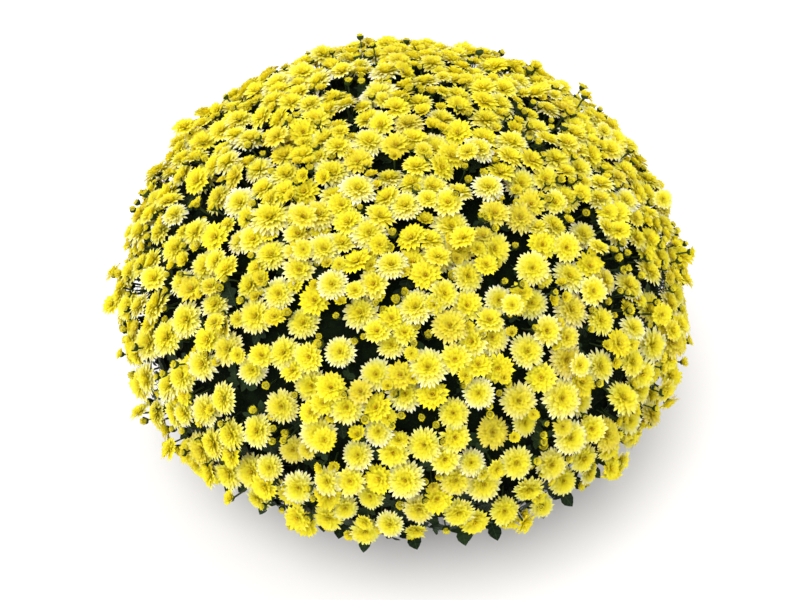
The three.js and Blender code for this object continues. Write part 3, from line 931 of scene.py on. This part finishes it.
class Nodes:
    """A material's node tree, built line by line."""

    def __init__(self, name, roughness, **settings):
        self.material = bpy.data.materials.new(name)
        self.material.use_nodes = True
        self.tree = self.material.node_tree
        self.shader = self.tree.nodes["Principled BSDF"]
        self.shader.inputs["Roughness"].default_value = roughness
        for socket, value in settings.items():
            self.shader.inputs[socket.replace("_", " ")].default_value = value

    def node(self, kind, **values):
        node = self.tree.nodes.new(kind)
        for name, value in values.items():
            setattr(node, name, value)
        return node

    def feed(self, socket, value):
        """Sets a socket to a number or a colour, or links an output to it."""
        if isinstance(value, (int, float)):
            socket.default_value = value
        elif isinstance(value, tuple):
            socket.default_value = (*value, 1)
        else:
            self.tree.links.new(value, socket)

    def attribute(self, name):
        return self.node("ShaderNodeAttribute", attribute_name=name).outputs["Fac"]

    def ramp(self, factor, *stops):
        node = self.node("ShaderNodeValToRGB")
        elements = node.color_ramp.elements
        while len(elements) < len(stops):
            elements.new(0.5)
        for element, (position, colour) in zip(elements, stops):
            element.position = position
            element.color = (*colour, 1)
        self.feed(node.inputs["Fac"], factor)
        return node.outputs["Color"]

    def math(self, operation, a, b=0.0, clamp=False):
        node = self.node("ShaderNodeMath", operation=operation, use_clamp=clamp)
        self.feed(node.inputs[0], a)
        self.feed(node.inputs[1], b)
        return node.outputs[0]

    def times(self, a, b, clamp=False):
        return self.math("MULTIPLY", a, b, clamp)

    def plus(self, a, b):
        return self.math("ADD", a, b)

    def mix(self, factor, a, b, blend="MIX"):
        node = self.node("ShaderNodeMix", data_type="RGBA", blend_type=blend)
        for number, value in ((0, factor), (6, a), (7, b)):
            self.feed(node.inputs[number], value)
        return node.outputs[2]

    def noise(self, scale, detail=3.0, roughness=0.55):
        node = self.node("ShaderNodeTexNoise")
        place = self.node("ShaderNodeTexCoord").outputs["Object"]
        inputs = {"Scale": scale, "Detail": detail, "Roughness": roughness, "Vector": place}
        for name, value in inputs.items():
            self.feed(node.inputs[name], value)
        return node.outputs["Fac"]

    def bump(self, height, distance, strength=1.0):
        node = self.node("ShaderNodeBump")
        for name, value in {"Strength": strength, "Distance": distance, "Height": height}.items():
            self.feed(node.inputs[name], value)
        self.feed(self.shader.inputs["Normal"], node.outputs["Normal"])

    def colour(self, output):
        self.feed(self.shader.inputs["Base Color"], output)


def petal_material():
    n = Nodes(
        "petal", 0.65, Specular_IOR_Level=0.2,
        Subsurface_Weight=0.65, Subsurface_Scale=0.008, Subsurface_Radius=(1.0, 0.8, 0.15),
    )
    out, along, across = n.attribute("out"), n.attribute("along"), n.attribute("across")
    # How far a spot has faded from the fresh middle of the flower to the pale rim.
    place = n.plus(n.times(out, 0.70), n.times(along, 0.30))
    fade = n.times(place, n.attribute("age"))
    yellow = n.ramp(
        fade,
        (0.00, (0.93, 0.78, 0.012)),
        (0.45, (0.94, 0.82, 0.022)),
        (0.63, (0.95, 0.86, 0.11)),
        (0.80, (0.96, 0.91, 0.34)),
        (0.96, (0.98, 0.95, 0.64)),
    )
    # Faint veins along each petal, and a little variety from flower to flower.
    veins = n.times(n.math("COSINE", n.times(across, 7.5)), 0.5)
    veined = n.mix(n.times(n.plus(veins, 0.5), 0.06), yellow, (0.82, 0.66, 0.02))
    # A few flowers, at random, are duller.
    dull = n.times(n.math("POWER", n.attribute("tint"), 8.0), 0.55)
    varied = n.mix(dull, veined, (0.66, 0.51, 0.03))
    mottled = n.mix(n.times(n.noise(260, 2.0), 0.08), varied, (0.78, 0.62, 0.02))
    # The root of each petal lies in the flower's depth, so it's painted a little darker and a deeper yellow
    # there: painted shade.
    deep = n.ramp(along, (0.0, (0.97, 0.95, 0.82)), (0.25, (1.0, 1.0, 1.0)))
    shaded = n.mix(1.0, mottled, deep, "MULTIPLY")
    # The eye is orange brown in an open flower and olive in a bud.
    eye = n.ramp(
        n.attribute("age"), (0.0, (0.30, 0.27, 0.015)), (0.15, (0.42, 0.30, 0.01)), (0.5, (0.42, 0.22, 0.01)),
    )
    n.colour(n.mix(n.attribute("eye"), shaded, eye))
    n.bump(n.math("COSINE", n.times(across, 9.0)), 0.00012, 0.5)
    return n.material


def leaf_material():
    n = Nodes("leaf", 0.6, Specular_IOR_Level=0.12)
    tint, across, along = n.attribute("tint"), n.attribute("across"), n.attribute("along")
    # The greens are darker than the leaves' own: partly painted shade, for the shade among the flowers.
    green = n.ramp(
        tint, (0.0, (0.006, 0.014, 0.005)), (0.5, (0.011, 0.025, 0.008)), (1.0, (0.024, 0.050, 0.014)),
    )
    blotched = n.mix(n.times(n.noise(90, 4.0), 0.5), green, (0.007, 0.015, 0.006))
    # The midrib and the veins that leave it are paler.
    midrib = n.math("LESS_THAN", across, 0.035)
    herring = n.math("SINE", n.plus(n.times(along, 62.0), n.times(across, -13.0)))
    veins = n.times(n.math("GREATER_THAN", herring, 0.90), 0.45)
    ribs = n.times(n.math("MAXIMUM", midrib, veins), 0.40)
    n.colour(n.mix(ribs, blotched, (0.045, 0.080, 0.026)))
    n.bump(n.plus(herring, n.noise(300, 2.0)), 0.0003, 0.5)
    return n.material


def painted_shade_foliage_material():
    # Near black, darker than the leaves' own green: painted shade for the depth of the bush.
    n = Nodes("inner_leaves", 0.9, Specular_IOR_Level=0.05)
    n.colour(n.ramp(n.noise(70, 6.0, 0.7), (0.35, (0.002, 0.004, 0.002)), (0.62, (0.006, 0.012, 0.004))))
    n.bump(n.noise(120, 5.0, 0.7), 0.006)
    return n.material


def stem_material():
    n = Nodes("stem", 0.65, Specular_IOR_Level=0.15)
    kind = n.attribute("along")
    bark = n.mix(n.noise(220, 5.0), (0.045, 0.030, 0.016), (0.13, 0.095, 0.05))
    green = n.mix(n.attribute("tint"), (0.018, 0.036, 0.009), (0.045, 0.080, 0.018))
    grained = n.mix(n.times(n.noise(400, 2.0), 0.4), green, (0.016, 0.026, 0.008))
    n.colour(n.mix(n.times(kind, 3.2, clamp=True), bark, grained))
    n.bump(n.noise(500, 3.0), 0.0006, 0.6)
    return n.material


def pot_material():
    n = Nodes("nursery_plastic", 0.5, Specular_IOR_Level=0.45)
    base = n.mix(n.noise(14, 5.0), (0.016, 0.017, 0.019), (0.030, 0.031, 0.033))
    dust = n.ramp(n.noise(55, 6.0, 0.7), (0.52, (0, 0, 0)), (0.80, (1, 1, 1)))
    n.colour(n.mix(n.times(dust, 0.35), base, (0.085, 0.075, 0.062)))
    scuffs = n.ramp(n.noise(38, 5.0), (0.3, (0.42, 0.42, 0.42)), (0.7, (0.62, 0.62, 0.62)))
    n.feed(n.shader.inputs["Roughness"], scuffs)
    n.bump(n.noise(1500, 2.0), 0.00015, 0.6)
    return n.material


def soil_material():
    n = Nodes("potting_mix", 0.95, Specular_IOR_Level=0.1)
    peat = n.ramp(
        n.noise(330, 6.0, 0.7),
        (0.30, (0.010, 0.006, 0.004)), (0.50, (0.030, 0.019, 0.012)), (0.75, (0.075, 0.050, 0.031)),
    )
    n.colour(n.mix(n.attribute("pale"), peat, (0.55, 0.52, 0.46)))
    n.bump(n.noise(700, 5.0, 0.75), 0.0016)
    return n.material


# -------- floor, light and camera

FLOOR_HALF = 6.0  # half its width, in metres


def add_stage():
    mesh = bpy.data.meshes.new("floor")
    corners = [(x * FLOOR_HALF, y * FLOOR_HALF, 0) for x, y in ((-1, -1), (1, -1), (1, 1), (-1, 1))]
    mesh.from_pydata(corners, [], [(0, 1, 2, 3)])
    floor = new_object("floor", mesh)
    look = Nodes(
        "floor", 0.9, Base_Color=(0.80, 0.79, 0.79, 1), Specular_IOR_Level=0.0,
        Emission_Color=(1, 1, 1, 1), Emission_Strength=0.06,
    )
    mesh.materials.append(look.material)


def add_sun(name, azimuth, elevation, spread, strength, colour):
    """A soft lamp from far away. Azimuth 0 shines from the camera's side, and 90 from the right."""
    data = bpy.data.lights.new(name, "SUN")
    data.angle = spread * RAD
    data.energy = strength
    data.color = colour
    lamp = new_object(name, data)
    across = cos(elevation * RAD)
    place = (across * sin(azimuth * RAD), -across * cos(azimuth * RAD), sin(elevation * RAD))
    lamp.rotation_euler = (-Vector(place)).to_track_quat("-Z", "Y").to_euler()


def add_lights():
    world = bpy.data.worlds.new("studio")
    bpy.context.scene.world = world
    world.use_nodes = True
    background = world.node_tree.nodes["Background"]
    background.inputs["Color"].default_value = (1.0, 0.99, 0.98, 1)
    background.inputs["Strength"].default_value = 1.0
    add_sun("key", -36, 56, 50, 2.25, (1.0, 0.99, 0.96))
    add_sun("back", 165, 48, 60, 0.40, (1.0, 0.99, 0.97))


# The camera's distance is in dome radii, and its lens gives the bush's size in the photograph.
CAMERA_ELEVATION = 43
CAMERA_DISTANCE = 4.5
PIXELS_PER_RADIUS = 280.0
FRAME_PIXELS = 800
SENSOR_WIDTH = 36.0
AIM_HEIGHT = WIDEST_LEVEL - 15.0  # of the point that the camera looks at,
AIM_ASIDE = -3.0  # which is a little left of the pot's axis


def add_camera():
    distance = CAMERA_DISTANCE * DOME_RADIUS * MM
    aim = Vector((AIM_ASIDE * MM, 0, AIM_HEIGHT * MM))
    elevation = CAMERA_ELEVATION * RAD
    data = bpy.data.cameras.new("camera")
    data.sensor_width = SENSOR_WIDTH
    data.lens = SENSOR_WIDTH * PIXELS_PER_RADIUS * CAMERA_DISTANCE / FRAME_PIXELS
    camera = new_object("camera", data)
    camera.location = aim + Vector((0, -cos(elevation), sin(elevation))) * distance
    camera.rotation_euler = (aim - camera.location).to_track_quat("-Z", "Y").to_euler()
    bpy.context.scene.camera = camera


# -------- the whole scene

add_camera()
add_lights()
add_stage()
bpy.context.scene.view_settings.view_transform = "Standard"

spray_middles = spread_directions(SPRAYS_PER_SPHERE, 0.12, seeded(11))
spray_middles = spray_middles[[polar_of(d) < SKIRT_POLAR - 3 * RAD for d in spray_middles]]

full_flowers = frame_flowers()
all_flowers = full_flowers + filler_flowers(full_flowers) + stray_flowers()
add_flower_pieces(all_flowers, petal_material())

stem = stem_material()
leaf = leaf_material()
bush_random = seeded(37)
add_stalks(all_flowers, stem)
add_branches(branch_ends(bush_random), stem)
add_leaves(bush_random, leaf)
painted_shade_foliage = add_painted_shade_foliage(painted_shade_foliage_material())
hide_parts("leafy_bush")

add_pot(pot_material())
add_soil(soil_material())
